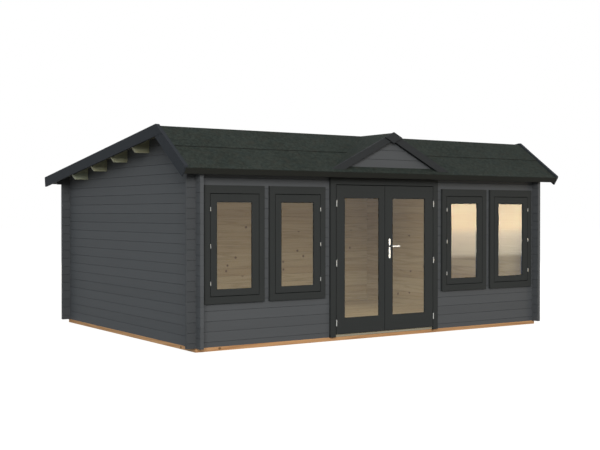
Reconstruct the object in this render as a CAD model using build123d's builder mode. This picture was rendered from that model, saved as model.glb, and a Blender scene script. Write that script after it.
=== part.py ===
from build123d import *
from math import atan, cos, sin, tan
import os

# Logs of the walls; the depth is measured over the outer faces of front and back wall
wall_depth = 3784
log_thickness = 44
log_height = 114
log_overhang = 108
groove_height = 7
groove_depth = 4

# Bearers under the walls, joists and floor boards
bearer_height = 45
bearer_width = 70
joist_width = 45
joist_spacing = 520
floor_thickness = 26
floor_gap = 4

# Double door
door_width = 1517
leaf_height = 1785
leaf_thickness = 44
leaf_gap = 6
jamb_gap = 10
leaf_stop_lap = 9
meeting_offset = -25
meeting_gap = 9
door_stile = 128.5
door_middle_band = 217
door_top_rail = 157
door_bottom_rail = 190
threshold_height = 30
threshold_proud = 6
threshold_bevel = 5

# Windows, a pair on each side of the door, their heads a little under the top of the door
window_width = 778
window_height = 1315
window_head_drop = 25
sash_gap = 8
sash_stile = 85
sash_top_rail = 92
sash_bottom_rail = 75.5
sash_setback = 18
sash_stop_lap = 14

# Trim of the door and windows on the wall, and the strips of wall left between them
trim_proud = 32
trim_lap = 40
inner_trim = 18
door_trim_face = 86.5
window_trim_side = 78
window_trim_top = 97
window_trim_bottom = 85
door_window_strip = 77
window_strip = 71
corner_strip = 93

# Glass and the bevel around it
glass_thickness = 6
glass_lap = 12
glass_setback = 14
glass_bevel = 8

# Hinges, set in from the ends of the leaf or sash
door_hinge_radius = 6
door_hinge_length = 76
door_hinge_low_inset = 135
door_hinge_high_inset = 218
window_hinge_radius = 4.5
window_hinge_length = 45
window_hinge_low_inset = 141
window_hinge_high_inset = 169
hinge_clearance = 1
hinge_leaf_thickness = 2.4
hinge_leaf_depth = 20
hinge_break = 0.4

# Lever handle on the right-hand door, placed from the leaf's meeting edge and lower end
handle_inset = 68.5
handle_rise = 1041
handle_plate_width = 25
handle_plate_above = 93
handle_plate_below = 150
handle_plate_thickness = 6
lever_length = 140
lever_height = 21
lever_thickness = 12
lever_stand_off = 38
lever_neck_radius = 9
lever_edge = 3
spindle_radius = 6
spindle_clearance = 0.3

# Roof surface: level eaves just over the door, ridge set close behind the front wall
eave_over_door = 66.5
roof_rise = 495
ridge_setback = 492
front_eave = 210
back_eave = 272
gable_overhang = 247
felt_thickness = 5
roof_board_thickness = 19

# Purlins under the back slope, shared out between ridge and back wall, and a ridge purlin
purlin_width = 44
purlin_height = 150
purlin_shares = (0.205, 0.396, 0.588, 0.783)
end_cut_length = 55
end_cut_height = 75

# Boards that trim the gable ends and the eaves
barge_width = 134
barge_thickness = 20
barge_step = 4
barge_rise = 18
batten_width = 24
fascia_width = 78
fascia_thickness = 20

# Small gable roof that stands on the front slope over the door
dormer_width = 1836
dormer_reach = 165
dormer_wall_reach = 110
dormer_wall_thickness = 28
dormer_joint_rise = 167
dormer_barge_width = 84
dormer_barge_thickness = 40
dormer_plate_width = 120
dormer_plate_thickness = 20
dormer_plate_rise = 8

# Distance by which every cutting shape runs past what it cuts
overrun = 20

# Door and windows on the front wall
leaf_edge = door_width / 2
leaf_bottom = bearer_height + threshold_height + leaf_gap
leaf_top = leaf_bottom + leaf_height
jamb_x = leaf_edge + jamb_gap
head_level = leaf_top + jamb_gap
door_frame_half = leaf_edge + door_trim_face
door_frame_top = leaf_top + door_trim_face
door_opening_half = door_frame_half - trim_lap
door_opening_top = door_frame_top - trim_lap
stop_setback = leaf_thickness - trim_proud + leaf_gap
sash_width = window_width - 2 * window_trim_side
sash_height = window_height - window_trim_top - window_trim_bottom
sash_thickness = trim_proud + sash_setback
window_level = leaf_top - window_head_drop - window_height / 2
sash_bottom = window_level - window_height / 2 + window_trim_bottom
sash_top = sash_bottom + sash_height
sash_level = (sash_bottom + sash_top) / 2
window_opening_width = window_width - 2 * trim_lap
window_opening_height = window_height - 2 * trim_lap
inner_window_x = door_frame_half + door_window_strip + window_width / 2
outer_window_x = inner_window_x + window_width + window_strip

# Walls and roof around them
side_face = outer_window_x + window_width / 2 + corner_strip
wall_length = 2 * side_face
roof_depth = front_eave + wall_depth + back_eave
front_face = front_eave - roof_depth / 2
back_face = front_face + wall_depth
middle_y = (front_face + back_face) / 2
front_edge = front_face - front_eave
back_edge = back_face + back_eave
half_log = log_height / 2
front_joint = bearer_height + half_log
floor_top = bearer_height + floor_thickness
inner_length = wall_length - 2 * log_thickness
inner_depth = wall_depth - 2 * log_thickness
eave_height = door_frame_top + eave_over_door
ridge_height = eave_height + roof_rise
ridge_y = front_face + ridge_setback
front_pitch = atan(roof_rise / (ridge_setback + front_eave))
back_pitch = atan(roof_rise / (back_edge - ridge_y))
roof_thickness = felt_thickness + roof_board_thickness
roof_half = side_face + gable_overhang - barge_thickness - barge_step
purlin_faces = [ridge_y + share * (back_face - ridge_y) for share in purlin_shares]
dormer_edge = front_face - dormer_reach
dormer_angle = atan((dormer_reach + ridge_setback) * tan(front_pitch) / (dormer_width / 2))
wall_front = Plane.XZ.offset(-front_face)
trim_front = wall_front.offset(trim_proud)
hinge_line = front_face - trim_proud - hinge_clearance - door_hinge_radius

os.makedirs("parts", exist_ok=True)


def keep(builder, name):
    builder.part.label = name
    export_step(builder.part, f"parts/{name}.step")


# Roof geometry: heights of planes that lie a given depth under the felt, and where they meet
def front_height(y, depth):
    return ridge_height - (ridge_y - y) * tan(front_pitch) - depth / cos(front_pitch)


def back_height(y, depth):
    return ridge_height - (y - ridge_y) * tan(back_pitch) - depth / cos(back_pitch)


def ridge_point(front_depth, back_depth):
    rise = front_depth / cos(front_pitch) - back_depth / cos(back_pitch)
    y = ridge_y + rise / (tan(front_pitch) + tan(back_pitch))
    return y, back_height(y, back_depth)


# Points of the eaves, which are cut square to the slope, from the edge of the felt
def front_eave_point(inset, depth):
    y = front_edge + inset * cos(front_pitch) + depth * sin(front_pitch)
    return y, eave_height + inset * sin(front_pitch) - depth * cos(front_pitch)


def back_eave_point(inset, depth):
    y = back_edge - inset * cos(back_pitch) - depth * sin(back_pitch)
    return y, eave_height + inset * sin(back_pitch) - depth * cos(back_pitch)


def front_slope(depth):
    origin = (0, ridge_y, front_height(ridge_y, depth))
    return Plane(origin=origin, x_dir=(1, 0, 0), z_dir=(0, -sin(front_pitch), cos(front_pitch)))


def back_slope(depth):
    origin = (0, ridge_y, back_height(ridge_y, depth))
    return Plane(origin=origin, x_dir=(1, 0, 0), z_dir=(0, sin(back_pitch), cos(back_pitch)))


def dormer_height(x, depth):
    return ridge_height - abs(x) * tan(dormer_angle) - depth / cos(dormer_angle)


def dormer_slope(side, depth):
    origin = (0, 0, dormer_height(0, depth))
    return Plane(origin=origin, x_dir=(0, 1, 0), z_dir=(side * sin(dormer_angle), 0, cos(dormer_angle)))


# Stacked logs: a wall section with a V groove on both faces at every joint
def joint_levels(first, top):
    count = int((top - first) / log_height) + 1
    return [first + place * log_height for place in range(count)]


def log_face(face, groove, first, bottom, top):
    points = [(face, bottom)]
    for level in joint_levels(first, top):
        if level > bottom + groove_height:
            points.append((face, level - groove_height / 2))
            points.append((groove, level))
            points.append((face, level + groove_height / 2))
    points.append((face, top))
    return points


def log_section(low, high, first, bottom, top):
    rising = log_face(low, low + groove_depth, first, bottom, top)
    falling = log_face(high, high - groove_depth, first, bottom, top)
    Polyline(*rising, *reversed(falling), close=True)


# Lap notches: at its own joints a log leaves room for the logs of the wall that crosses it
def lap_notches(corners, first):
    levels = joint_levels(first, ridge_height)
    with Locations(*[(x, y, level) for x, y in corners for level in levels]):
        Box(log_thickness, log_thickness, half_log, mode=Mode.SUBTRACT)


# Bearers, joists and floor
with BuildPart() as long_bearers:
    with BuildSketch(Plane.XY):
        with Locations((0, front_face + bearer_width / 2), (0, back_face - bearer_width / 2)):
            Rectangle(wall_length, bearer_width)
    extrude(amount=bearer_height)
keep(long_bearers, "long_bearers")

with BuildPart() as side_bearers:
    with BuildSketch(Plane.XY):
        with Locations((side_face - bearer_width / 2, middle_y)):
            Rectangle(bearer_width, wall_depth - 2 * bearer_width)
    extrude(amount=bearer_height)
    mirror(about=Plane.YZ)
keep(side_bearers, "side_bearers")

joist_count = int((wall_length - 2 * bearer_width) / joist_spacing)
with BuildPart() as floor_joists:
    with BuildSketch(Plane.XY):
        with Locations((0, middle_y)):
            with GridLocations(joist_spacing, joist_width, joist_count, 1):
                Rectangle(joist_width, wall_depth - 2 * bearer_width)
    extrude(amount=bearer_height)
keep(floor_joists, "floor_joists")

with BuildPart() as floor_boards:
    with BuildSketch(Plane.XY.offset(bearer_height)):
        with Locations((0, middle_y)):
            Rectangle(inner_length - 2 * floor_gap, inner_depth - 2 * floor_gap)
    extrude(amount=floor_thickness)
keep(floor_boards, "floor_boards")


# Places where the middles of the walls cross
corner_x = side_face - log_thickness / 2
front_corner_y = front_face + log_thickness / 2
back_corner_y = back_face - log_thickness / 2

# Front wall, split beside and over the doorway
with BuildPart() as front_wall_right:
    with BuildSketch(Plane.YZ.offset(door_opening_half)):
        with BuildLine():
            log_section(front_face, front_face + log_thickness, front_joint, bearer_height, ridge_height)
        make_face()
    extrude(amount=side_face + log_overhang - door_opening_half)
    split(bisect_by=front_slope(roof_thickness), keep=Keep.BOTTOM)
    with BuildSketch(wall_front.offset(overrun)):
        with Locations((inner_window_x, window_level), (outer_window_x, window_level)):
            Rectangle(window_opening_width, window_opening_height)
    extrude(amount=-log_thickness - 2 * overrun, mode=Mode.SUBTRACT)
    lap_notches([(corner_x, front_corner_y)], front_joint)
keep(front_wall_right, "front_wall_right")

with BuildPart() as front_wall_left:
    mirror(front_wall_right.part, about=Plane.YZ)
keep(front_wall_left, "front_wall_left")

with BuildPart() as front_wall_over_door:
    with BuildSketch(Plane.YZ):
        with BuildLine():
            log_section(front_face, front_face + log_thickness, front_joint, door_opening_top, ridge_height)
        make_face()
    extrude(amount=door_opening_half, both=True)
    split(bisect_by=front_slope(roof_thickness), keep=Keep.BOTTOM)
keep(front_wall_over_door, "front_wall_over_door")

# Back wall, whose top log runs out to carry the ends of the roof
back_top = back_height(back_face, roof_thickness)
top_joint = joint_levels(front_joint, back_top)[-1]
with BuildPart() as back_wall:
    with BuildSketch(Plane.YZ):
        with BuildLine():
            log_section(back_face - log_thickness, back_face, front_joint, bearer_height, ridge_height)
        make_face()
    extrude(amount=side_face + log_overhang, both=True)
    with BuildSketch(Plane.XZ.offset(-back_face)):
        with BuildLine():
            Polyline(
                (side_face + log_overhang - overrun, top_joint + groove_height / 2),
                (roof_half - end_cut_length, top_joint + groove_height / 2),
                (roof_half, top_joint + end_cut_height),
                (roof_half, ridge_height),
                (side_face + log_overhang - overrun, ridge_height),
                close=True,
            )
        make_face()
        mirror(about=Plane.YZ)
    extrude(amount=log_thickness)
    split(bisect_by=back_slope(roof_thickness), keep=Keep.BOTTOM)
    lap_notches([(-corner_x, back_corner_y), (corner_x, back_corner_y)], front_joint)
keep(back_wall, "back_wall")

# Gable walls, notched for the purlins
ridge_level = ridge_point(roof_thickness, roof_thickness)[1]
with BuildPart() as right_wall:
    with BuildSketch(Plane.XZ.offset(-back_face - log_overhang)):
        with BuildLine():
            log_section(side_face - log_thickness, side_face, bearer_height, bearer_height, ridge_height)
        make_face()
    extrude(amount=wall_depth + 2 * log_overhang)
    split(bisect_by=front_slope(roof_thickness), keep=Keep.BOTTOM)
    split(bisect_by=back_slope(roof_thickness), keep=Keep.BOTTOM)
    seats = [(corner_x, face, back_height(face, roof_thickness) - purlin_height) for face in purlin_faces]
    seats.append((corner_x, ridge_y - purlin_width / 2, ridge_level - purlin_height))
    with Locations(*seats):
        Box(
            log_thickness, purlin_width, purlin_height + overrun,
            align=(Align.CENTER, Align.MIN, Align.MIN), mode=Mode.SUBTRACT,
        )
    lap_notches([(corner_x, front_corner_y), (corner_x, back_corner_y)], bearer_height)
keep(right_wall, "right_wall")

with BuildPart() as left_wall:
    mirror(right_wall.part, about=Plane.YZ)
keep(left_wall, "left_wall")


# Purlins, bevelled to the roof; those of the back slope are cut on a slant at their ends
def purlin_outline(seat, half_length):
    Polyline(
        (half_length, ridge_height),
        (half_length, seat + end_cut_height),
        (half_length - end_cut_length, seat),
        (end_cut_length - half_length, seat),
        (-half_length, seat + end_cut_height),
        (-half_length, ridge_height),
        close=True,
    )


with BuildPart() as purlins:
    for face in purlin_faces:
        with BuildSketch(Plane.XZ.offset(-face - purlin_width)):
            with BuildLine():
                purlin_outline(back_height(face, roof_thickness) - purlin_height, roof_half)
            make_face()
        extrude(amount=purlin_width)
    with BuildSketch(Plane.XZ.offset(-ridge_y - purlin_width / 2)):
        with Locations((0, ridge_level)):
            Rectangle(wall_length, 2 * purlin_height)
    extrude(amount=purlin_width)
    split(bisect_by=front_slope(roof_thickness), keep=Keep.BOTTOM)
    split(bisect_by=back_slope(roof_thickness), keep=Keep.BOTTOM)
keep(purlins, "purlins")


# Roof boards and felt: sheets of even thickness that meet in a mitre at the ridge
def front_sheet(top_depth, bottom_depth, inset):
    with BuildPart() as sheet:
        with BuildSketch(Plane.YZ):
            with BuildLine():
                Polyline(
                    ridge_point(top_depth, top_depth),
                    front_eave_point(inset, top_depth),
                    front_eave_point(inset, bottom_depth),
                    ridge_point(bottom_depth, bottom_depth),
                    close=True,
                )
            make_face()
        extrude(amount=roof_half, both=True)
    return sheet


def back_sheet(top_depth, bottom_depth, inset):
    with BuildPart() as sheet:
        with BuildSketch(Plane.YZ):
            with BuildLine():
                Polyline(
                    ridge_point(top_depth, top_depth),
                    back_eave_point(inset, top_depth),
                    back_eave_point(inset, bottom_depth),
                    ridge_point(bottom_depth, bottom_depth),
                    close=True,
                )
            make_face()
        extrude(amount=roof_half, both=True)
    return sheet


keep(front_sheet(felt_thickness, roof_thickness, fascia_thickness), "roof_boards_front")
keep(back_sheet(felt_thickness, roof_thickness, fascia_thickness), "roof_boards_back")
keep(front_sheet(0, felt_thickness, 0), "roof_felt_front")
keep(back_sheet(0, felt_thickness, 0), "roof_felt_back")

# Fascias on the ends of the roof boards, under the edge of the felt
with BuildPart() as fascias:
    with BuildSketch(Plane.YZ):
        for eave_point in (front_eave_point, back_eave_point):
            with BuildLine():
                Polyline(
                    eave_point(0, felt_thickness),
                    eave_point(fascia_thickness, felt_thickness),
                    eave_point(fascia_thickness, fascia_width),
                    eave_point(0, fascia_width),
                    close=True,
                )
            make_face()
    extrude(amount=roof_half, both=True)
keep(fascias, "fascias")

# Bargeboards, flush with the fascias at their ends: the long back ones are a step thicker and run
# over the top, the short front ones butt under them
barge_depth = barge_width - barge_rise
with BuildPart() as back_bargeboards:
    with BuildSketch(Plane.YZ.offset(roof_half)):
        with BuildLine():
            Polyline(
                ridge_point(-barge_rise, -barge_rise),
                (back_edge, back_height(back_edge, -barge_rise)),
                (back_edge, eave_height),
                back_eave_point(0, barge_depth),
                ridge_point(-barge_rise, barge_depth),
                close=True,
            )
        make_face()
    extrude(amount=barge_thickness + barge_step)
    mirror(about=Plane.YZ)
keep(back_bargeboards, "back_bargeboards")

with BuildPart() as front_bargeboards:
    with BuildSketch(Plane.YZ.offset(roof_half)):
        with BuildLine():
            Polyline(
                ridge_point(-barge_rise, barge_depth),
                (front_edge, front_height(front_edge, -barge_rise)),
                (front_edge, eave_height),
                front_eave_point(0, barge_depth),
                ridge_point(barge_depth, barge_depth),
                close=True,
            )
        make_face()
    extrude(amount=barge_thickness)
    mirror(about=Plane.YZ)
keep(front_bargeboards, "front_bargeboards")

# Battens that hold the felt down along the bargeboards, flush with their tops
with BuildPart() as edge_battens:
    with BuildSketch(Plane.YZ.offset(roof_half)):
        with BuildLine():
            Polyline(
                ridge_point(-barge_rise, -barge_rise),
                (back_edge, back_height(back_edge, -barge_rise)),
                (back_edge, eave_height),
                (ridge_y, ridge_height),
                (front_edge, eave_height),
                (front_edge, front_height(front_edge, -barge_rise)),
                close=True,
            )
        make_face()
    extrude(amount=-batten_width)
    mirror(about=Plane.YZ)
keep(edge_battens, "edge_battens")

# Dormer: gable wall, boards, felt and bargeboards, all cut to sit on the felt of the front slope,
# and a diamond plate over the joint of the bargeboards
dormer_half = dormer_width / 2 + overrun
dormer_run = ridge_y - dormer_edge - dormer_barge_thickness
with BuildPart() as dormer_gable:
    with BuildSketch(Plane.YZ):
        with BuildLine():
            low = front_face - dormer_wall_reach
            high = low + dormer_wall_thickness
            log_section(low, high, eave_height + dormer_joint_rise, eave_height, ridge_height)
        make_face()
    extrude(amount=dormer_half, both=True)
    split(bisect_by=dormer_slope(1, roof_thickness), keep=Keep.BOTTOM)
    split(bisect_by=dormer_slope(-1, roof_thickness), keep=Keep.BOTTOM)
    split(bisect_by=front_slope(0), keep=Keep.TOP)
keep(dormer_gable, "dormer_gable")


def dormer_outline(top_depth, bottom_depth):
    Polyline(
        (0, dormer_height(0, top_depth)),
        (dormer_half, dormer_height(dormer_half, top_depth)),
        (dormer_half, dormer_height(dormer_half, bottom_depth)),
        (0, dormer_height(0, bottom_depth)),
        (-dormer_half, dormer_height(dormer_half, bottom_depth)),
        (-dormer_half, dormer_height(dormer_half, top_depth)),
        close=True,
    )


def dormer_sheet(top_depth, bottom_depth):
    with BuildPart() as sheet:
        with BuildSketch(Plane.XZ.offset(-ridge_y)):
            with BuildLine():
                dormer_outline(top_depth, bottom_depth)
            make_face()
        extrude(amount=dormer_run)
        split(bisect_by=front_slope(0), keep=Keep.TOP)
    return sheet


keep(dormer_sheet(felt_thickness, roof_thickness), "dormer_boards")
keep(dormer_sheet(0, felt_thickness), "dormer_felt")

with BuildPart() as dormer_bargeboards:
    with BuildSketch(Plane.XZ.offset(-dormer_edge - dormer_barge_thickness)):
        with BuildLine():
            dormer_outline(0, dormer_barge_width)
        make_face()
    extrude(amount=dormer_barge_thickness)
    split(bisect_by=front_slope(0), keep=Keep.TOP)
keep(dormer_bargeboards, "dormer_bargeboards")

plate_half_height = dormer_plate_width / (2 * cos(dormer_angle))
plate_middle = ridge_height + dormer_plate_rise - plate_half_height
with BuildPart() as dormer_peak_plate:
    with BuildSketch(Plane.XZ.offset(-dormer_edge)):
        with BuildLine():
            Polyline(
                (0, plate_middle + plate_half_height),
                (plate_half_height / tan(dormer_angle), plate_middle),
                (0, plate_middle - plate_half_height),
                (-plate_half_height / tan(dormer_angle), plate_middle),
                close=True,
            )
        make_face()
    extrude(amount=dormer_plate_thickness)
keep(dormer_peak_plate, "dormer_peak_plate")


# Door frame: outer trim, lining with a stop behind the leaves, inner trim
def door_ring(half_width, top, inner_half, inner_top):
    with Locations((0, bearer_height)):
        Rectangle(2 * half_width, top - bearer_height, align=(Align.CENTER, Align.MIN))
        Rectangle(
            2 * inner_half, inner_top - bearer_height,
            align=(Align.CENTER, Align.MIN), mode=Mode.SUBTRACT,
        )


with BuildPart() as door_frame:
    with BuildSketch(wall_front):
        door_ring(door_frame_half, door_frame_top, jamb_x, head_level)
    extrude(amount=trim_proud)
    with BuildSketch(wall_front):
        door_ring(door_opening_half, door_opening_top, jamb_x, head_level)
    extrude(amount=-stop_setback)
    with BuildSketch(wall_front.offset(-stop_setback)):
        door_ring(door_opening_half, door_opening_top, leaf_edge - leaf_stop_lap, leaf_top - leaf_stop_lap)
    extrude(amount=stop_setback - log_thickness)
    with BuildSketch(wall_front.offset(-log_thickness)):
        with Locations((0, floor_top)):
            Rectangle(2 * door_frame_half, door_frame_top - floor_top, align=(Align.CENTER, Align.MIN))
            Rectangle(
                2 * (leaf_edge - leaf_stop_lap), leaf_top - leaf_stop_lap - floor_top,
                align=(Align.CENTER, Align.MIN), mode=Mode.SUBTRACT,
            )
    extrude(amount=-inner_trim)
keep(door_frame, "door_frame")

with BuildPart() as threshold:
    with BuildSketch(wall_front.offset(threshold_proud)):
        with Locations((0, bearer_height)):
            Rectangle(2 * jamb_x, threshold_height, align=(Align.CENTER, Align.MIN))
    extrude(amount=-threshold_proud - stop_setback)
    with BuildSketch(wall_front.offset(-stop_setback)):
        with Locations((0, bearer_height)):
            Rectangle(2 * (leaf_edge - leaf_stop_lap), threshold_height, align=(Align.CENTER, Align.MIN))
    extrude(amount=stop_setback - log_thickness)
    top_front = threshold.edges().filter_by(Axis.X).sort_by(Axis.Y)[0:2].sort_by(Axis.Z)[-1]
    chamfer(top_front, length=threshold_bevel)
keep(threshold, "threshold")


# A framed pane: stiles and rails with a bevelled edge before the glass and a rebate behind its edge
def framed_leaf(left, right, bottom, top, glass_box, thickness):
    glass_left, glass_right, glass_bottom, glass_top = glass_box
    middle = ((glass_left + glass_right) / 2, (glass_bottom + glass_top) / 2)
    glass_width = glass_right - glass_left
    glass_height = glass_top - glass_bottom
    with BuildSketch(trim_front) as outline:
        with Locations(((left + right) / 2, (bottom + top) / 2)):
            Rectangle(right - left, top - bottom)
        with Locations(middle):
            Rectangle(glass_width, glass_height, mode=Mode.SUBTRACT)
    extrude(outline.sketch, amount=-thickness)
    with BuildSketch(trim_front.offset(-glass_setback)) as rebate:
        with Locations(middle):
            Rectangle(glass_width + 2 * glass_lap, glass_height + 2 * glass_lap)
    extrude(rebate.sketch, amount=glass_setback - thickness, mode=Mode.SUBTRACT)


def pane(glass_box):
    glass_left, glass_right, glass_bottom, glass_top = glass_box
    with BuildSketch(trim_front.offset(-glass_setback)) as sheet:
        with Locations(((glass_left + glass_right) / 2, (glass_bottom + glass_top) / 2)):
            Rectangle(glass_right - glass_left + 2 * glass_lap, glass_top - glass_bottom + 2 * glass_lap)
    extrude(sheet.sketch, amount=-glass_thickness)


def bevel_glass_edge(builder):
    front = builder.faces().sort_by(Axis.Y)[0]
    chamfer(front.inner_wires()[0].edges(), length=glass_bevel)


# Windows: fixed frames, sashes, panes and hinges
windows = {
    "outer_left": (-outer_window_x, -1),
    "inner_left": (-inner_window_x, 1),
    "inner_right": (inner_window_x, -1),
    "outer_right": (outer_window_x, 1),
}


def window_ring(middle, width, height, inner_width, inner_height):
    with Locations((middle, window_level)):
        Rectangle(width, height)
    with Locations((middle, sash_level)):
        Rectangle(inner_width, inner_height, mode=Mode.SUBTRACT)


def sash_glass(middle):
    half = sash_width / 2 - sash_stile
    return middle - half, middle + half, sash_bottom + sash_bottom_rail, sash_top - sash_top_rail


def window_frame(middle):
    hole_width = sash_width + 2 * sash_gap
    hole_height = sash_height + 2 * sash_gap
    stop_width = sash_width - 2 * sash_stop_lap
    stop_height = sash_height - 2 * sash_stop_lap
    with BuildPart() as frame:
        with BuildSketch(wall_front):
            window_ring(middle, window_width, window_height, hole_width, hole_height)
        extrude(amount=trim_proud)
        with BuildSketch(wall_front):
            window_ring(middle, window_opening_width, window_opening_height, hole_width, hole_height)
        extrude(amount=-sash_setback)
        with BuildSketch(wall_front.offset(-sash_setback)):
            window_ring(middle, window_opening_width, window_opening_height, stop_width, stop_height)
        extrude(amount=sash_setback - log_thickness)
        with BuildSketch(wall_front.offset(-log_thickness)):
            window_ring(middle, window_width, window_height, stop_width, stop_height)
        extrude(amount=-inner_trim)
    return frame


def window_sash(middle):
    half = sash_width / 2
    with BuildPart() as sash:
        framed_leaf(middle - half, middle + half, sash_bottom, sash_top, sash_glass(middle), sash_thickness)
        bevel_glass_edge(sash)
    return sash


for name, (middle, hinge_side) in windows.items():
    keep(window_frame(middle), f"window_frame_{name}")
    keep(window_sash(middle), f"window_sash_{name}")

with BuildPart() as window_panes:
    for middle, hinge_side in windows.values():
        pane(sash_glass(middle))
keep(window_panes, "window_panes")


# Three hinges on an edge: two set in from its ends and one halfway between them
def hinge_levels(low, high):
    return low, (low + high) / 2, high


# A hinge half: a barrel in front of the joint and a thin leaf let into it
def hinge_half(barrel_x, barrel_y, radius, leaf_x, bottom, length):
    with BuildSketch(Plane.XY.offset(bottom)) as section:
        with Locations((barrel_x, barrel_y)):
            Circle(radius)
        with Locations((leaf_x, barrel_y)):
            Rectangle(
                hinge_leaf_thickness, radius + hinge_clearance + hinge_leaf_depth,
                align=(Align.CENTER, Align.MIN),
            )
    extrude(section.sketch, amount=length)


with BuildPart() as window_hinges:
    barrel_y = front_face - trim_proud - hinge_clearance - window_hinge_radius
    for middle, hinge_side in windows.values():
        sash_edge = middle + hinge_side * sash_width / 2
        barrel_x = sash_edge + hinge_side * sash_gap / 2
        leaf_x = sash_edge + hinge_side * hinge_leaf_thickness / 2
        for level in hinge_levels(sash_bottom + window_hinge_low_inset, sash_top - window_hinge_high_inset):
            bottom = level - window_hinge_length / 2
            hinge_half(barrel_x, barrel_y, window_hinge_radius, leaf_x, bottom, window_hinge_length)
keep(window_hinges, "window_hinges")

# Door leaves: the right-hand one is the wider, so that the pair meets left of the middle
glass_near = door_middle_band / 2
glass_far = leaf_edge - door_stile
glass_bottom = leaf_bottom + door_bottom_rail
glass_top = leaf_top - door_top_rail
left_glass = (-glass_far, -glass_near, glass_bottom, glass_top)
right_glass = (glass_near, glass_far, glass_bottom, glass_top)
left_meeting = meeting_offset - meeting_gap / 2
right_meeting = meeting_offset + meeting_gap / 2
handle_x = right_meeting + handle_inset
lever_level = leaf_bottom + handle_rise
door_hinge_levels = hinge_levels(leaf_bottom + door_hinge_low_inset, leaf_top - door_hinge_high_inset)

with BuildPart() as left_door_leaf:
    framed_leaf(-leaf_edge, left_meeting, leaf_bottom, leaf_top, left_glass, leaf_thickness)
    bevel_glass_edge(left_door_leaf)
keep(left_door_leaf, "left_door_leaf")

with BuildPart() as right_door_leaf:
    framed_leaf(right_meeting, leaf_edge, leaf_bottom, leaf_top, right_glass, leaf_thickness)
    bevel_glass_edge(right_door_leaf)
    with BuildSketch(trim_front):
        with Locations((handle_x, lever_level)):
            Circle(spindle_radius + spindle_clearance)
    extrude(amount=-leaf_thickness, mode=Mode.SUBTRACT)
keep(right_door_leaf, "right_door_leaf")

with BuildPart() as left_door_glass:
    pane(left_glass)
keep(left_door_glass, "left_door_glass")

with BuildPart() as right_door_glass:
    pane(right_glass)
keep(right_door_glass, "right_door_glass")


# Door hinges: the lower half of each barrel is on the frame, the upper half on the leaf
def leaf_hinges(side):
    half_length = door_hinge_length / 2
    with BuildPart() as hinges:
        for level in door_hinge_levels:
            hinge_half(
                side * (leaf_edge + jamb_gap / 2), hinge_line, door_hinge_radius,
                side * (leaf_edge + hinge_leaf_thickness / 2), level, half_length,
            )
    return hinges


keep(leaf_hinges(-1), "left_door_hinges")
keep(leaf_hinges(1), "right_door_hinges")

with BuildPart() as frame_hinges:
    half_length = door_hinge_length / 2 - hinge_break
    for side in (-1, 1):
        for level in door_hinge_levels:
            hinge_half(
                side * (leaf_edge + jamb_gap / 2), hinge_line, door_hinge_radius,
                side * (jamb_x - hinge_leaf_thickness / 2), level - hinge_break - half_length, half_length,
            )
keep(frame_hinges, "frame_hinges")

# Handle: a plate on each face of the leaf and one lever on each end of the spindle
plate_level = lever_level + (handle_plate_above - handle_plate_below) / 2
plate_height = handle_plate_above + handle_plate_below
leaf_back = trim_front.offset(-leaf_thickness)
with BuildPart() as handle_plates:
    for face in (trim_front, leaf_back.offset(-handle_plate_thickness)):
        with BuildSketch(face):
            with Locations((handle_x, plate_level)):
                SlotOverall(plate_height, handle_plate_width, rotation=90)
            with Locations((handle_x, lever_level)):
                Circle(spindle_radius + spindle_clearance, mode=Mode.SUBTRACT)
        extrude(amount=handle_plate_thickness)
keep(handle_plates, "handle_plates")


def lever_arm(face, outward):
    with BuildSketch(face) as neck:
        with Locations((handle_x, lever_level)):
            Circle(lever_neck_radius)
    extrude(neck.sketch, amount=outward * lever_stand_off)
    with BuildSketch(face.offset(outward * lever_stand_off)) as arm:
        with Locations((handle_x + lever_length / 2 - lever_height / 2, lever_level)):
            SlotOverall(lever_length, lever_height)
    extrude(arm.sketch, amount=outward * lever_thickness)


with BuildPart() as handle_lever:
    outer_face = trim_front.offset(handle_plate_thickness + spindle_clearance)
    inner_face = leaf_back.offset(-handle_plate_thickness - spindle_clearance)
    with BuildSketch(inner_face):
        with Locations((handle_x, lever_level)):
            Circle(spindle_radius)
    extrude(amount=leaf_thickness + 2 * (handle_plate_thickness + spindle_clearance))
    lever_arm(outer_face, 1)
    lever_arm(inner_face, -1)
    arm_faces = handle_lever.faces().filter_by(Axis.Y).sort_by(Axis.Y)
    fillet(arm_faces[0].edges() + arm_faces[-1].edges(), radius=lever_edge)
keep(handle_lever, "handle_lever")
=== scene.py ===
import bpy
import bmesh
import math
import random
from mathutils import Matrix, Vector


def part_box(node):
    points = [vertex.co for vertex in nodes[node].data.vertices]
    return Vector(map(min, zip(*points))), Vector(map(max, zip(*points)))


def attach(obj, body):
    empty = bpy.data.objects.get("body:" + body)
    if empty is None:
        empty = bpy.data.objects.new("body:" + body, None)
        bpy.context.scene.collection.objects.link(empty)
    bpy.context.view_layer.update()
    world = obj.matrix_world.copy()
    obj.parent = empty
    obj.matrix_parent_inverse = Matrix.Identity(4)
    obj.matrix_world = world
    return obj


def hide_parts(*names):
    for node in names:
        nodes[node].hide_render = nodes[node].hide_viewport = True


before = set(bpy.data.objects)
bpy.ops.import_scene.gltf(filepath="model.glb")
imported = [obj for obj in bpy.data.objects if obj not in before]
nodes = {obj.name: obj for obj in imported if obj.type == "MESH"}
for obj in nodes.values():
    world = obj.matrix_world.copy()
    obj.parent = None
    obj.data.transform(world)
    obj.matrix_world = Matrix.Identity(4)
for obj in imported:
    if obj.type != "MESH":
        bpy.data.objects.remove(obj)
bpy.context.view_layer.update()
chance = random.Random(11)
scene = bpy.context.scene
scene.view_settings.view_transform = "Standard"
black, white = (0, 0, 0), (1, 1, 1)
print("frame loaded,", len(nodes), "nodes")


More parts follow.
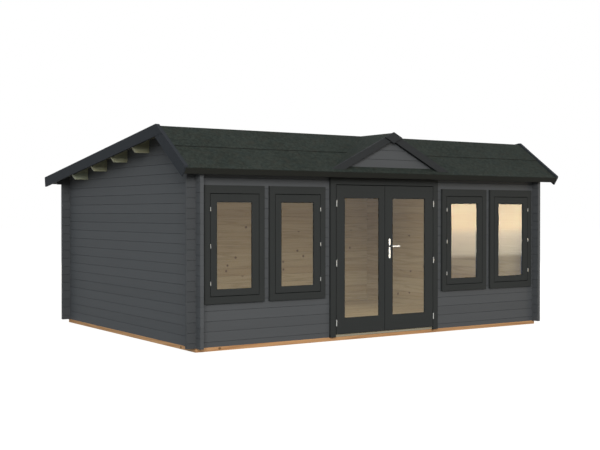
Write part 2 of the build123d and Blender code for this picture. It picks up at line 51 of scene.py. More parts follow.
class Wire:                                                # a socket whose sums become nodes
    def __init__(self, tree, socket=None):
        self.tree = tree
        self.socket = socket

    def add(self, kind, settings=None, links=None, out=0):
        node = self.tree.nodes.new("ShaderNode" + kind)
        for name, value in (settings or {}).items():
            if name == "stops":
                points = node.color_ramp.elements
                points[0].position, points[0].color = value[0][0], (*value[0][1], 1)
                points[1].position, points[1].color = value[-1][0], (*value[-1][1], 1)
                for spot, colour in value[1:-1]:
                    points.new(spot).color = (*colour, 1)
            else:
                setattr(node, name, value)
        for name, value in (links or {}).items():
            if isinstance(value, Wire):
                self.tree.links.new(value.socket, node.inputs[name])
            else:
                node.inputs[name].default_value = value
        return Wire(self.tree, node.outputs[out] if node.outputs else None)

    def side(self, name):                                  # another output of the same node
        return Wire(self.tree, self.socket.node.outputs[name])

    def calc(self, operation, *others):
        return self.add("Math", {"operation": operation}, dict(enumerate((self, *others))))

    def __add__(self, other):
        return self.calc("ADD", other)

    def __radd__(self, other):
        return self.add("Math", {"operation": "ADD"}, {0: other, 1: self})

    def __sub__(self, other):
        return self.calc("SUBTRACT", other)

    def __rsub__(self, other):
        return self.add("Math", {"operation": "SUBTRACT"}, {0: other, 1: self})

    def __mul__(self, other):
        return self.calc("MULTIPLY", other)

    def __rmul__(self, other):
        return self.add("Math", {"operation": "MULTIPLY"}, {0: other, 1: self})

    def __truediv__(self, other):
        return self.calc("DIVIDE", other)

    def __lt__(self, other):
        return self.calc("LESS_THAN", other)

    def __gt__(self, other):
        return self.calc("GREATER_THAN", other)

    def __abs__(self):
        return self.calc("ABSOLUTE")

    def ramp(self, *stops):
        return self.add("ValToRGB", {"stops": stops}, {0: self})

    def blend(self, first, second):                        # two colours by this share
        pair = [value if isinstance(value, Wire) else (*value, 1) for value in (first, second)]
        return self.add("Mix", {"data_type": "RGBA"}, {0: self, 6: pair[0], 7: pair[1]}, 2)

    def tint(self, colour):                                # a colour made lighter or darker by this value
        grey = self.add("CombineColor", {}, {0: self, 1: self, 2: self})
        first = colour if isinstance(colour, Wire) else (*colour, 1)
        return self.add("Mix", {"data_type": "RGBA", "blend_type": "MULTIPLY"}, {0: 1, 6: first, 7: grey}, 2)


def makeMaterial(name, build, *args):
    material = bpy.data.materials.new(name)
    material.use_nodes = True
    material.node_tree.nodes.clear()
    start = Wire(material.node_tree)
    start.add("OutputMaterial", {}, {"Surface": build(start, *args)})
    return material


def objectPoint(w):
    return w.add("TexCoord", {}, {}, "Object")


def place(w):                                              # x, y and z on the object
    split = w.add("SeparateXYZ", {}, {0: objectPoint(w)})
    return split, split.side("Y"), split.side("Z")


def mottled(w, point, scale, detail, rough):
    return w.add("TexNoise", {}, {"Vector": point, "Scale": scale, "Detail": detail, "Roughness": rough})


def noise(w, parts, detail, rough):                        # each part brings its own scale
    return mottled(w, w.add("CombineXYZ", {}, dict(enumerate(parts))), 1.0, detail, rough)


bumpStrength = 0.6


def surface(w, look, colour, vary, height=None, metal=0.0):    # vary roughens the finish, height lifts it
    rough, part = look["rough"]
    links = {"Base Color": colour, "Roughness": rough + vary * part,
             "Specular IOR Level": look["shine"], "Metallic": metal}
    if height is not None:
        bump = {"Strength": bumpStrength, "Distance": look["relief"], "Height": height}
        links["Normal"] = w.add("Bump", {}, bump)
    return w.add("BsdfPrincipled", {}, links)


# timber: bare spruce and painted spruce share one grain

timber = {"streakLong": 1.6, "streakFine": 60, "driftLong": 0.35, "driftFine": 7, "rings": 46,
          "apart": 23, "apartDeep": 9}                     # apart: how far one board's grain is from the next
knots = {"colour": (0.155, 0.088, 0.040), "size": 0.034, "gap": 0.26, "rare": 0.76, "apart": 5,
         "core": 0.62, "coreShare": (0.9, 0.9, 0.9), "ragged": 0.5}


class Grain:                                               # streaks, yearly lines and knots of a board or log
    def __init__(self, w, length, across, depth, index):
        self.w = w
        self.across = across
        self.own = w.add("TexWhiteNoise", {"noise_dimensions": "1D"}, {"W": index})    # each board's own tone
        self.run = length + self.own * timber["apart"]
        long, fine = timber["streakLong"], timber["streakFine"]
        self.streak = noise(w, (self.run * long, across * fine, depth * fine), detail=5, rough=0.6)
        long, fine = timber["driftLong"], timber["driftFine"]
        deep = depth * fine + self.own * timber["apartDeep"]
        drift = noise(w, (self.run * long, across * fine, deep), detail=2, rough=0.5)
        self.line = (drift * timber["rings"]).calc("SINE") * 0.5 + 0.5

    def knot(self):
        gap = knots["gap"]
        spot = {0: self.run / gap, 1: self.across / gap + self.own * knots["apart"]}
        point = self.w.add("CombineXYZ", {}, spot)
        cell = self.w.add("TexVoronoi", {"voronoi_dimensions": "2D"}, {"Vector": point, "Scale": 1.0},
                          "Distance")
        pick = self.w.add("SeparateColor", {}, {0: cell.side("Color")})
        near = cell * gap / knots["size"] + self.streak * knots["ragged"]
        shape = near.ramp((0.0, white), (knots["core"], knots["coreShare"]), (1.0, black))
        return shape * (pick > knots["rare"])

    def bare(self, look, lift=1.0):                        # the colour of unpainted wood
        pale, warm, dark = [[part * lift for part in look[tone]] for tone in ("pale", "warm", "line")]
        tone = self.streak * look["streakShare"] + self.own * (1 - look["streakShare"])
        fresh = tone.ramp((look["ramp"][0], warm), (look["ramp"][1], pale))
        lined = (self.line.calc("POWER", look["linePower"]) * look["lineShare"]).blend(fresh, dark)
        return self.knot().blend(lined, knots["colour"])

    def rise(self, look):                                  # heights for the bump
        streak, line = look["rise"]
        return self.streak * streak + self.line * line


room = {"wide": -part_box("left_wall")[1][0], "front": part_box("front_wall_left")[1][1],
        "back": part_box("back_wall")[0][1]}                 # inner faces of the walls


def indoors(x, y, margin=0.0):
    wide, front, back = room["wide"] + margin, room["front"] - margin, room["back"] + margin
    return (abs(x) < wide) * (y > front) * (y < back)


# weatheredAndShaded greys the outdoor timber, partly weathering and partly painted shade; soffit darkens the
# boards under the eaves as painted shade
spruce = {"pale": (0.555, 0.455, 0.28), "warm": (0.455, 0.337, 0.182), "line": (0.33, 0.225, 0.105),
          "streakShare": 0.55, "ramp": (0.22, 0.75), "linePower": 5, "lineShare": 0.42,
          "weatheredAndShaded": (0.62, 0.825, 1.0), "soffit": (0.26, 0.31, 0.34),
          "purlinStep": 0.5, "dormerStep": 0.096, "spread": 997,
          "rough": (0.52, 0.14), "rise": (0.6, 0.3), "relief": 0.0006, "shine": 0.3}


def spruceFinish(w, along, step=None, outside="weatheredAndShaded"):  # bare planed timber; step gives separate pieces
    x, y, z = place(w)
    length, across = (x, y) if along == "X" else (y, x)
    if step is None:
        index = w.add("Attribute", {"attribute_name": "boardTone"}, {}, "Fac") * spruce["spread"]
    else:
        index = (across / step).calc("FLOOR")
    grain = Grain(w, length, across, z, index)
    out = 1 - indoors(x, y)                                # greyer out of doors: partly weathering, partly painted shade under the roof
    colour = w.add("Mix", {"data_type": "RGBA", "blend_type": "MULTIPLY"},
                   {0: out, 6: grain.bare(spruce), 7: (*spruce[outside], 1)}, 2)
    return surface(w, spruce, colour, grain.streak, grain.rise(spruce))


logs = {"height": 0.114, "thick": 0.044, "alongWall": 0.102, "gableWall": 0.045, "dormerWall": 2.186,
        "seam": 0.0030, "seamDark": 0.15, "ends": 2.6425, "endPaintedShade": 0.18, "paint": (0.0838, 0.0888, 0.0945),
        "base": 0.84, "own": 0.08, "streak": 0.10, "haze": 0.14, "hazeScale": (0.7, 2.2), "insideRough": 0.4,
        "rough": (0.56, 0.10), "rise": (0.6, 0.25), "relief": 0.0007, "shine": 0.10}


def wallFinish(w, along, firstJoint):                      # paint outside, bare spruce inside
    x, y, z = place(w)
    length, depth = (x, y) if along == "X" else (y, x)
    stack = (z - firstJoint) / logs["height"]
    index = stack.calc("FLOOR")
    seam = (0.5 - abs(stack - index - 0.5)) * logs["height"] < logs["seam"]
    grain = Grain(w, length, z, depth, index)
    inside = indoors(x, y, logs["thick"] / 2)
    level, upright = logs["hazeScale"]
    haze = noise(w, (x * level, y * level, z * upright), detail=3, rough=0.6)
    shade = logs["base"] + grain.own * logs["own"] + grain.streak * logs["streak"] + haze * logs["haze"]
    # the log ends that stand out past the corners are painted darker: painted shade of the corner
    ends = 1 - (abs(x) > logs["ends"]) * logs["endPaintedShade"]
    paint = (shade * ends).tint(logs["paint"])
    colour = (1 - seam * logs["seamDark"]).tint(inside.blend(paint, grain.bare(spruce)))
    return surface(w, logs, colour, grain.streak + inside * logs["insideRough"], grain.rise(logs))


satin = {"rough": (0.54, 0.12), "rise": (0.6, 0.3), "relief": 0.0006, "shine": 0.03}


def satinPaint(w, look, colour, grain, spot):              # dark paint that lets the grain show
    haze = noise(w, [part * look["hazeScale"] for part in spot], detail=3, rough=0.6)
    shade = look["base"] + grain.streak * look["streak"] + haze * look["haze"]
    return surface(w, satin, shade.tint(colour), grain.streak, grain.rise(satin))


trim = {"paint": (0.0372, 0.0400, 0.0397), "windowRails": (0.6865, 1.652), "doorRails": (0.271, 1.709),
        "base": 0.86, "streak": 0.14, "haze": 0.14, "hazeScale": 1.3, "seeds": (3, 5)}


def trimFinish(w, rails):                                  # upright stiles, level rails under and over glass
    x, y, z = place(w)
    low, high = rails
    rail = (z < low) + (z > high)
    length = z * (1 - rail) + x * rail
    across = x * (1 - rail) + z * rail
    railSeed, sideSeed = trim["seeds"]
    grain = Grain(w, length, across, y, rail * railSeed + (x > 0.0) * sideSeed)
    return satinPaint(w, trim, trim["paint"], grain, (x, y, z))


# eaves is the bargeboards' paint made darker and greener for the fascia: painted shade under the felt's edge
edges = {"slope": (0.0318, 0.0358, 0.0412), "eaves": (0.0282, 0.0290, 0.0258),
         "chevron": (0.0350, 0.0375, 0.0395),
         "base": 0.84, "streak": 0.18, "haze": 0.14, "hazeScale": 1.1, "seeds": (3, 7)}


def edgeFinish(w, along, colour):                          # boards at the roof's edges
    x, y, z = place(w)
    length = x if along == "X" else y
    sideSeed, backSeed = edges["seeds"]
    grain = Grain(w, length, z, z, (x > 0.0) * sideSeed + (y > 0.0) * backSeed)
    return satinPaint(w, edges, colour, grain, (x, y, z))


# lift makes the side bearers lighter than the long bearers of the same timber: painted light
bearers = {"pale": (0.63, 0.37, 0.19), "warm": (0.45, 0.232, 0.100), "line": (0.30, 0.130, 0.050),
           "streakShare": 0.8, "ramp": (0.25, 0.72), "linePower": 3, "lineShare": 0.5,
           "lift": {"X": 1.03, "Y": 1.22}, "perMetre": 2.0, "fine": 1.4,
           "rough": (0.66, 0.2), "relief": 0.0012, "shine": 0.2}


def bearerFinish(w, along):                                # sawn softwood, warmer and rougher than the logs
    x, y, z = place(w)
    length, across = (x, y) if along == "X" else (y, x)
    index = (across * bearers["perMetre"]).calc("FLOOR")
    grain = Grain(w, length, z * bearers["fine"], across, index)
    # the lift by direction is painted light on the side bearers
    return surface(w, bearers, grain.bare(bearers, bearers["lift"][along]), grain.streak, grain.streak)


sill = {"dark": (0.25, 0.222, 0.157), "pale": (0.39, 0.357, 0.265), "streakLong": 2.0, "streakFine": 120,
        "rough": (0.42, 0.2), "relief": 0.0006, "shine": 0.4}


def sillFinish(w):                                         # oiled hardwood threshold
    x, y, z = place(w)
    fine = sill["streakFine"]
    streak = noise(w, (x * sill["streakLong"], y * fine, z * fine), detail=5, rough=0.65)
    return surface(w, sill, streak.ramp((0.3, sill["dark"]), (0.7, sill["pale"])), streak, streak)


felt = {"dark": (0.015, 0.0198, 0.0168), "pale": (0.044, 0.0527, 0.0459),
        "rust": (0.0375, 0.0365, 0.0305), "rustShare": 0.55,
        "sea": (0.0245, 0.0345, 0.0345), "seaShare": 0.45,
        "patch": 0.24, "fleck": 0.56, "bit": 0.20,
        "patchScale": 2.3, "fleckScale": 25.0, "mottleScale": 11.0, "chipScale": 320.0,
        "rough": (0.86, 0.1), "relief": 0.0015, "shine": 0.10}


def feltFinish(w):                                         # bitumen sheet with mineral chips
    point = objectPoint(w)
    patch = mottled(w, point, felt["patchScale"], detail=5, rough=0.62)
    fleck = mottled(w, point, felt["fleckScale"], detail=3, rough=0.7)
    mottle = mottled(w, point, felt["mottleScale"], detail=4, rough=0.68)
    chip = w.add("TexVoronoi", {}, {"Vector": point, "Scale": felt["chipScale"]}, "Color")
    bit = w.add("SeparateColor", {}, {0: chip})
    tone = patch * felt["patch"] + fleck * felt["fleck"] + bit * felt["bit"]
    brown = mottle.ramp((0.52, black), (0.70, white)) * felt["rustShare"]
    blue = mottle.ramp((0.30, white), (0.48, black)) * felt["seaShare"]
    mixed = brown.blend(tone.ramp((0.36, felt["dark"]), (0.64, felt["pale"])), felt["rust"])
    return surface(w, felt, blue.blend(mixed, felt["sea"]), fleck, fleck * 0.5 + bit * 0.5)


brush = {"fine": 900, "long": 60, "base": 0.9, "shade": 0.2, "relief": 0.0001, "shine": 0.5}
steel = {**brush, "colour": (0.66, 0.675, 0.69), "rough": (0.24, 0.12)}
hinge = {**brush, "colour": (0.53, 0.53, 0.515), "rough": (0.36, 0.12)}
zinc = {**brush, "colour": (0.10, 0.105, 0.10), "rough": (0.6, 0.12)}
# dull is the painted shade and painted reflection round the lever's spindle
lever = {**brush, "bright": (0.44, 0.468, 0.50), "dull": (0.10, 0.105, 0.11), "shadedNeck": 0.013,
         "rough": (0.28, 0.12)}


def brushed(w, look, colour, parts):                       # fine lines in bare metal
    lines = noise(w, parts, detail=2, rough=0.5)
    shade = look["base"] + lines * look["shade"]
    return surface(w, look, shade.tint(colour), lines, lines, metal=1.0)


def steelFinish(w, look):
    x, y, z = place(w)
    fine, long = look["fine"], look["long"]
    return brushed(w, look, look["colour"], (x * fine, y * fine, z * long))


def middle(node, axis):
    low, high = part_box(node)
    return (low[axis] + high[axis]) / 2


def leverFinish(w):                                        # darker round its spindle than along the grip: painted shade and painted reflection
    x, y, z = place(w)
    aside, above = x - middle("handle_plates", 0), z - middle("handle_lever", 2)
    shadedNeck = (aside * aside + above * above).calc("SQRT") < lever["shadedNeck"]
    fine, long = lever["fine"], lever["long"]
    return brushed(w, lever, shadedNeck.blend(lever["bright"], lever["dull"]), (x * long, y * fine, z * fine))


paintedHoleShade = {"dark": (0.006, 0.006, 0.006), "dust": (0.02, 0.02, 0.019), "scale": 400.0,
          "rough": (0.7, 0.2), "shine": 0.3}


def slotShadeFinish(w):                                         # painted shade in key slots and screw slots, and on the felt's cut edges bare bitumen darkened by painted shade
    dust = mottled(w, objectPoint(w), paintedHoleShade["scale"], detail=2, rough=0.5)
    return surface(w, paintedHoleShade, dust.ramp((0.3, paintedHoleShade["dark"]), (0.7, paintedHoleShade["dust"])), dust)


pane = {"clear": (0.94, 0.96, 0.95, 1), "glass": (0.97, 0.985, 0.975, 1), "bend": 1.4}


def paneFinish(w):                                         # clear glass that lets lamplight into the room
    ray = w.add("LightPath", {}, {}, "Is Shadow Ray")
    passing = ray.calc("MAXIMUM", ray.side("Is Diffuse Ray"))
    clear = w.add("BsdfTransparent", {}, {"Color": pane["clear"]})
    glass = w.add("BsdfPrincipled", {}, {"Base Color": pane["glass"], "Roughness": 0.0, "IOR": pane["bend"],
                                         "Transmission Weight": 1.0})
    return w.add("MixShader", {}, {0: passing, 1: glass, 2: clear})


finishes = {
    "wallX": makeMaterial("painted_logs_long", wallFinish, "X", logs["alongWall"]),
    "wallY": makeMaterial("painted_logs_gable", wallFinish, "Y", logs["gableWall"]),
    "dormerWall": makeMaterial("painted_logs_dormer", wallFinish, "X", logs["dormerWall"]),
    "windowTrim": makeMaterial("painted_window_timber", trimFinish, trim["windowRails"]),
    "doorTrim": makeMaterial("painted_door_timber", trimFinish, trim["doorRails"]),
    "edgeSlope": makeMaterial("painted_bargeboard", edgeFinish, "Y", edges["slope"]),
    "edgeDormer": makeMaterial("painted_dormer_edge", edgeFinish, "X", edges["chevron"]),
    "edgeLevel": makeMaterial("painted_fascia", edgeFinish, "X", edges["eaves"]),
    "purlinWood": makeMaterial("bare_purlin", spruceFinish, "X", spruce["purlinStep"]),
    "roofWood": makeMaterial("bare_roof_boards", spruceFinish, "Y", None, "soffit"),
    "floorWood": makeMaterial("bare_floor_boards", spruceFinish, "X"),
    "dormerWood": makeMaterial("bare_dormer_boards", spruceFinish, "Y", spruce["dormerStep"]),
    "bearerX": makeMaterial("bearer_long", bearerFinish, "X"),
    "bearerY": makeMaterial("bearer_side", bearerFinish, "Y"),
    "sill": makeMaterial("oiled_threshold", sillFinish),
    "felt": makeMaterial("mineral_felt", feltFinish),
    "steel": makeMaterial("satin_steel", steelFinish, steel),
    "lever": makeMaterial("lever_steel", leverFinish),
    "hinge": makeMaterial("dull_steel", steelFinish, hinge),
    "zinc": makeMaterial("zinc_nail", steelFinish, zinc),
    "slot": makeMaterial("dark_slot", slotShadeFinish),
    "glass": makeMaterial("clear_pane", paneFinish),
}

nodeFinish = {                                             # starts of the nodes' names
    "front_wall": "wallX", "back_wall": "wallX", "left_wall": "wallY", "right_wall": "wallY",
    "dormer_gable": "dormerWall", "window_frame": "windowTrim", "window_sash": "windowTrim",
    "door_frame": "doorTrim", "left_door_leaf": "doorTrim", "right_door_leaf": "doorTrim",
    "back_bargeboards": "edgeSlope", "front_bargeboards": "edgeSlope", "edge_battens": "edgeSlope",
    "dormer_bargeboard": "edgeDormer", "dormer_peak_plate": "edgeDormer", "fascias": "edgeLevel",
    "purlins": "purlinWood", "roof_boards": "roofWood", "floor_boards": "floorWood",
    "dormer_boards": "dormerWood", "long_bearers": "bearerX", "side_bearers": "bearerY",
    "floor_joists": "bearerY", "threshold": "sill", "roof_felt": "felt", "dormer_felt": "felt",
    "window_panes": "glass", "left_door_glass": "glass", "right_door_glass": "glass",
    "window_hinges": "hinge", "left_door_hinges": "hinge", "right_door_hinges": "hinge",
    "frame_hinges": "hinge", "handle_plates": "steel", "handle_lever": "lever",
}
for name, piece in nodes.items():
    key = [start for start in nodeFinish if name.startswith(start)][0]
    piece.data.materials.clear()
    piece.data.materials.append(finishes[nodeFinish[key]])
print("finishes on", len(nodes), "nodes")


def addPiece(name, bm, material):
    mesh = bpy.data.meshes.new(name)
    bm.to_mesh(mesh)
    bm.free()
    mesh.materials.append(material)
    piece = bpy.data.objects.new(name, mesh)
    scene.collection.objects.link(piece)
    return piece


def finishPiece(name, bm, finish, body, stands=()):
    piece = addPiece(name, bm, finishes[finish])
    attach(piece, body)
    if stands:
        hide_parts(*stands)
    return piece


def gather(whole, part):                                   # adds one bmesh to another
    spare = bpy.data.meshes.new("spare")
    part.to_mesh(spare)
    part.free()
    whole.from_mesh(spare)
    bpy.data.meshes.remove(spare)


# boards of the roof and the floor, cut from the solid sheets

boards = {"roofWidth": 0.096, "floorWidth": 0.112, "gap": 0.0012, "groove": 0.0035,
          "weld": 0.0001, "flat": 0.01, "longEdge": 0.3, "level": 1e-5}


def cutBoards(sheet, across, width):
    low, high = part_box(sheet)
    count = round((high[across] - low[across]) / width)
    step = (high[across] - low[across]) / count
    whole = bmesh.new()
    whole.verts.layers.float.new("boardTone")
    for k in range(count):
        board = bmesh.new()
        board.from_mesh(nodes[sheet].data)
        bmesh.ops.remove_doubles(board, verts=board.verts, dist=boards["weld"])
        bmesh.ops.dissolve_limit(board, angle_limit=boards["flat"], verts=board.verts, edges=board.edges)
        for turn, edge in ((-1, low[across] + k * step + boards["gap"] / 2),
                           (1, low[across] + (k + 1) * step - boards["gap"] / 2)):
            normal, point = Vector(), Vector()
            normal[across], point[across] = turn, edge
            cut = bmesh.ops.bisect_plane(board, geom=board.verts[:] + board.edges[:] + board.faces[:],
                                         plane_co=point, plane_no=normal, clear_outer=True)
            rim = [part for part in cut["geom_cut"] if isinstance(part, bmesh.types.BMEdge)]
            bmesh.ops.edgeloop_fill(board, edges=rim)
        arris = [edge for edge in board.edges if edge.calc_length() > boards["longEdge"]
                 and abs(edge.verts[0].co[across] - edge.verts[1].co[across]) < boards["level"]]
        bmesh.ops.bevel(board, geom=arris, offset=boards["groove"], affect="EDGES", segments=1, profile=0.5,
                        material=-1)
        bmesh.ops.recalc_face_normals(board, faces=board.faces)
        tone = board.verts.layers.float.new("boardTone")
        value = chance.random()
        for vert in board.verts:
            vert[tone] = value
        gather(whole, board)
    return whole


for sheet, name in (("roof_boards_front", "front_roof_boarding"), ("roof_boards_back", "back_roof_boarding")):
    finishPiece(name, cutBoards(sheet, 0, boards["roofWidth"]), "roofWood", "house", [sheet])
finishPiece("floor_boarding", cutBoards("floor_boards", 1, boards["floorWidth"]), "floorWood",
            "house", ["floor_boards"])
print("boards cut")


# felt laid in courses: every lower edge lies on the course below

frontFelt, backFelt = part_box("roof_felt_front"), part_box("roof_felt_back")
eave = 2.019                                               # top of the felt at both eaves
courses = {"ridge": (backFelt[0][1], backFelt[1][2]), "reach": 2.8405, "start": 0.002,
           "front": {"edge": (frontFelt[0][1], eave), "laps": [0.494]},
           "back": {"edge": (backFelt[1][1], eave), "laps": [0.26, 0.51, 0.76]},
           "thick": 0.0058, "swell": (0.9, 1.15), "thin": 0.0006,
           "wander": 0.00192, "calm": 0.75, "cuts": 110}


def slopePoint(x, share, edge):
    ridge = Vector((x, *courses["ridge"]))
    return ridge.lerp(Vector((x, *edge)), share)


def slopeUp(edge):                                         # down the slope, and square to it
    along = (slopePoint(0, 1, edge) - slopePoint(0, 0, edge)).normalized()
    up = along.cross(Vector((1, 0, 0)))
    return along, up if up.z > 0 else -up


def layCourse(edge, top, lap):                             # a sheet from share top down to share lap
    along, up = slopeUp(edge)
    bm = bmesh.new()
    ends = [bm.verts.new(slopePoint(x, top, edge)) for x in (-courses["reach"], courses["reach"])]
    line = bm.edges.new(ends)
    bmesh.ops.subdivide_edges(bm, edges=[line], cuts=courses["cuts"])
    grown = bmesh.ops.extrude_edge_only(bm, edges=bm.edges[:])
    lower = [part for part in grown["geom"] if isinstance(part, bmesh.types.BMVert)]
    drop = slopePoint(0, lap, edge) - slopePoint(0, top, edge)
    swing = 0.0
    for vert in sorted(lower, key=lambda v: v.co.x):
        swing = swing * courses["calm"] + chance.uniform(-1, 1) * courses["wander"]
        vert.co += drop + along * swing
    skin = bmesh.ops.extrude_face_region(bm, geom=bm.faces[:])
    raised = [part for part in skin["geom"] if isinstance(part, bmesh.types.BMVert)]
    halfway = slopePoint(0, (top + lap) / 2, edge)
    for vert in raised:
        low = (vert.co - halfway).dot(along) > 0
        vert.co += up * (courses["thick"] * chance.uniform(*courses["swell"]) if low else courses["thin"])
    bmesh.ops.recalc_face_normals(bm, faces=bm.faces)
    for face in bm.faces:                                  # the cut edge shows bare bitumen, darkened by painted shade under the lap
        face.material_index = int(face.normal.dot(along) > 0.5)
    return bm


def layFelt(name, slope):
    whole = bmesh.new()
    laps = slope["laps"]
    for top, lap in zip([courses["start"]] + laps, laps):
        gather(whole, layCourse(slope["edge"], top, lap))
    piece = finishPiece(name, whole, "felt", "house")
    piece.data.materials.append(finishes["slot"])


layFelt("front_felt_laps", courses["front"])
layFelt("back_felt_laps", courses["back"])

nails = {"step": 0.17, "first": 0.06, "last": 0.05, "stray": 0.02, "back": 0.030, "strayBack": 0.004,
         "head": 0.0052, "crown": 0.75, "depth": 0.0026, "sides": 10, "sunk": 0.9, "hidden": 0.95}


def driveNails():                                          # wide flat heads just above each lap and eave
    whole = bmesh.new()
    stray, strayBack = nails["stray"], nails["strayBack"]
    for slope in (courses["front"], courses["back"]):
        edge = slope["edge"]
        along, up = slopeUp(edge)
        turn = up.to_track_quat("Z", "X").to_matrix().to_4x4()
        for share in slope["laps"] + [1.0]:
            x = -courses["reach"] + nails["first"]
            lift = courses["thick"] * nails["sunk"] if share < 1 else 0
            while x < courses["reach"] - nails["last"]:
                spot = slopePoint(x + chance.uniform(-stray, stray), share, edge)
                spot += up * lift - along * (nails["back"] + chance.uniform(-strayBack, strayBack))
                hidden = edge[0] < 0 and abs(x) < nails["hidden"]    # under the small gable
                if not hidden:
                    bmesh.ops.create_cone(whole, cap_ends=True, segments=nails["sides"], depth=nails["depth"],
                                          radius1=nails["head"], radius2=nails["head"] * nails["crown"],
                                          matrix=Matrix.Translation(spot) @ turn)
                x += nails["step"]
    finishPiece("felt_nails", whole, "zinc", "house")


driveNails()
print("felt laid")


# lock and screws on the handle plates

lock = {"z": 1.034, "radius": 0.0085, "proud": 0.0025, "sides": 32, "soften": 0.3,
        "tail": (0.0098, 0.016), "tailProud": 0.9, "tailDrop": 0.7, "keySlot": (0.0018, 0.0004, 0.0085),
        "screws": (1.204, 0.983), "screwRadius": 0.0034, "screwProud": 0.0012, "screwSides": 20,
        "cross": (0.0042, 0.0003, 0.0009), "slotSoften": 0.0001}


def barrel(bm, spot, out, radius, depth, sides):           # a short round boss with a softened rim
    turn = Matrix.Rotation(math.radians(90 if out < 0 else -90), 4, "X")
    made = bmesh.ops.create_cone(bm, cap_ends=True, segments=sides, radius1=radius, radius2=radius,
                                 depth=depth, matrix=Matrix.Translation(spot) @ turn)
    rim = [edge for edge in bm.edges if all(v in made["verts"] for v in edge.verts)
           and all((v.co.y - spot.y) * out > 0 for v in edge.verts)]
    bmesh.ops.bevel(bm, geom=rim, offset=depth * lock["soften"], affect="EDGES", segments=2, profile=0.5,
                    material=-1)


def block(bm, spot, size, soften):
    made = bmesh.ops.create_cube(bm, size=1.0, matrix=Matrix.Translation(spot) @ Matrix.Diagonal((*size, 1)))
    rims = [edge for edge in bm.edges if all(v in made["verts"] for v in edge.verts)]
    bmesh.ops.bevel(bm, geom=rims, offset=soften, affect="EDGES", segments=2, profile=0.5, material=-1)


def fitLock():
    plateLow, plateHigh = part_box("handle_plates")
    x, z, proud = middle("handle_plates", 0), lock["z"], lock["proud"]
    wide, tall = lock["tail"]
    tailDeep = proud * lock["tailProud"]
    long, deep, thin = lock["cross"]
    # dark gathers the key slot and screw slots, dark blocks on the plates: painted shade of the holes
    metal, dark = bmesh.new(), bmesh.new()
    for face, out in ((plateLow[1], -1), (plateHigh[1], 1)):
        barrel(metal, Vector((x, face + out * proud / 2, z)), out, lock["radius"], proud, lock["sides"])
        block(metal, Vector((x, face + out * tailDeep / 2, z - tall * lock["tailDrop"])),
              (wide, tailDeep, tall), proud * lock["soften"])
        block(dark, Vector((x, face + out * proud, z)), lock["keySlot"], lock["slotSoften"])
        for level in lock["screws"]:
            half = out * lock["screwProud"] / 2
            spot = Vector((x, face + half, level))
            barrel(metal, spot, out, lock["screwRadius"], lock["screwProud"], lock["screwSides"])
            for size in ((long, deep, thin), (thin, deep, long)):
                block(dark, spot + Vector((0, half, 0)), size, lock["slotSoften"])
    finishPiece("lock_and_screws", metal, "steel", "right_door")
    finishPiece("key_and_screw_slots", dark, "slot", "right_door")


fitLock()
print("lock fitted")


# floor, light and camera

stage = {"radius": 90.0, "sides": 64, "drop": 0.002, "colour": (0.22, 0.212, 0.19), "glow": 0.92}


def lookedAt(w):                                           # 1 for what the camera, gloss and glass see
    ray = w.add("LightPath", {}, {}, "Is Camera Ray")
    return ray.calc("MAXIMUM", ray.side("Is Glossy Ray")).calc("MAXIMUM", ray.side("Is Transmission Ray"))


def floorFinish(w):                                        # pale, lifted to white for what looks at it
    base = w.add("BsdfDiffuse", {}, {"Color": (*stage["colour"], 1)})
    glow = w.add("Emission", {}, {"Color": (*white, 1), "Strength": lookedAt(w) * stage["glow"]})
    return w.add("AddShader", {}, {0: base, 1: glow})


groundMesh = bmesh.new()
bmesh.ops.create_circle(groundMesh, cap_ends=True, segments=stage["sides"], radius=stage["radius"])
bmesh.ops.translate(groundMesh, vec=(0, 0, -stage["drop"]), verts=groundMesh.verts)
ground = addPiece("studio_floor", groundMesh, makeMaterial("pale_floor", floorFinish))

card = {"y": -9.2, "x": (7.2, 11.2), "top": 2.6, "power": 21.5,
        "stops": [(0.0, (0.036, 0.041, 0.060)), (0.19, (0.046, 0.050, 0.066)), (0.23, (0.32, 0.30, 0.26)),
                  (0.40, (0.56, 0.48, 0.38)), (0.47, (0.94, 0.73, 0.475)), (1.0, (1.0, 0.80, 0.52))]}


def cardFinish(w):                                         # a glowing warm card that only the right-hand panes mirror: painted reflection
    z = place(w)[2]
    colour = (z / card["top"]).ramp(*card["stops"])
    return w.add("Emission", {}, {"Color": colour, "Strength": card["power"]})


cardMesh = bmesh.new()
near, far = card["x"]
cardMesh.faces.new([cardMesh.verts.new((x, card["y"], z)) for x, z in
                    ((near, 0), (far, 0), (far, card["top"]), (near, card["top"]))])
warmCard = addPiece("warm_card", cardMesh, makeMaterial("warm_card", cardFinish))
# the card glows only in reflections: it lights nothing and casts no shadow
warmCard.visible_camera = warmCard.visible_diffuse = warmCard.visible_shadow = False
warmCard.visible_transmission = False

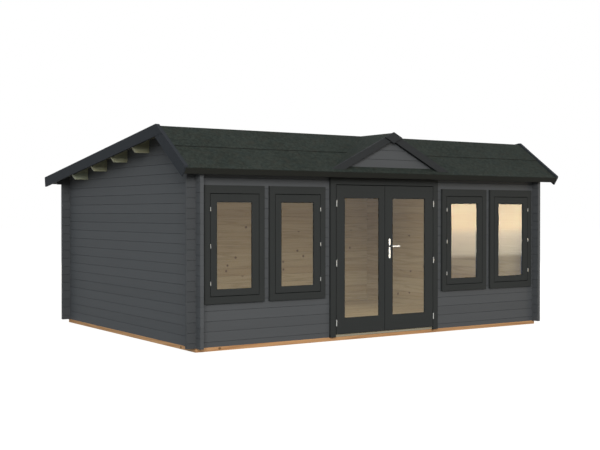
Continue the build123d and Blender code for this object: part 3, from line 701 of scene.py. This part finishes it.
lamps = {
    "front": {"at": (-15.1, -24.2, 10.3), "to": (0.0, 0.0, 1.0), "size": (15.0, 10.0),
              "watts": 6100, "tint": (1.0, 0.97, 0.93)},
    "behind": {"at": (9.0, 14.0, 7.0), "to": (0.0, 0.0, 1.0), "size": (9.0, 6.0),
               "watts": 2600, "tint": (1.0, 0.98, 0.95)},
    "room": {"at": (0.0, -0.35, 1.80), "to": (0.0, 0.25, 0.0), "size": (4.6, 1.6),
             "watts": 22.4, "tint": (1.0, 0.93, 0.81)},
}
for name, lamp in lamps.items():
    light = bpy.data.lights.new(name, "AREA")
    light.shape = "RECTANGLE"
    light.size, light.size_y = lamp["size"]
    light.energy, light.color = lamp["watts"], lamp["tint"]
    holder = bpy.data.objects.new(name, light)
    holder.location = lamp["at"]
    aim = Vector(lamp["to"]) - Vector(lamp["at"])
    holder.rotation_euler = aim.to_track_quat("-Z", "Y").to_euler()
    holder.visible_camera = holder.visible_glossy = holder.visible_transmission = False
    scene.collection.objects.link(holder)

air = {"cool": (0.60, 0.865, 1.08), "warm": (1.0, 0.98, 0.96), "level": 0.54, "front": 0.06, "left": 0.22}


def lightAir(world):                                       # soft light, cooler from the left, seen as white
    world.use_nodes = True
    world.node_tree.nodes.clear()
    w = Wire(world.node_tree)
    heading = w.add("SeparateXYZ", {}, {0: w.add("TexCoord", {}, {}, "Generated")})
    ahead = (0.0 - heading.side("Y")).calc("MAXIMUM", 0.0)
    left = (0.0 - heading).calc("MAXIMUM", 0.0)
    level = ahead * air["front"] - left * air["left"] + air["level"]
    tone = left.blend(air["warm"], air["cool"])
    seen = lookedAt(w)
    colour = seen.blend(tone, white)
    strength = seen + (1 - seen) * level
    w.add("OutputWorld", {}, {"Surface": w.add("Background", {}, {"Color": colour, "Strength": strength})})


scene.world = scene.world or bpy.data.worlds.new("studio")
lightAir(scene.world)

view = {"at": (-7.8742, -11.7850, 1.5316), "tilt": -0.672, "turn": -33.829, "lens": 60.85,
        "sensor": 36.0, "far": 300.0}
lens = bpy.data.cameras.new("photo_view")
lens.sensor_width, lens.lens = view["sensor"], view["lens"]
lens.clip_end = view["far"]
camera = bpy.data.objects.new("photo_view", lens)
camera.location = view["at"]
camera.rotation_euler = (math.radians(90 + view["tilt"]), 0, math.radians(view["turn"]))
scene.collection.objects.link(camera)
scene.camera = camera
print("stage, lamps and camera ready")
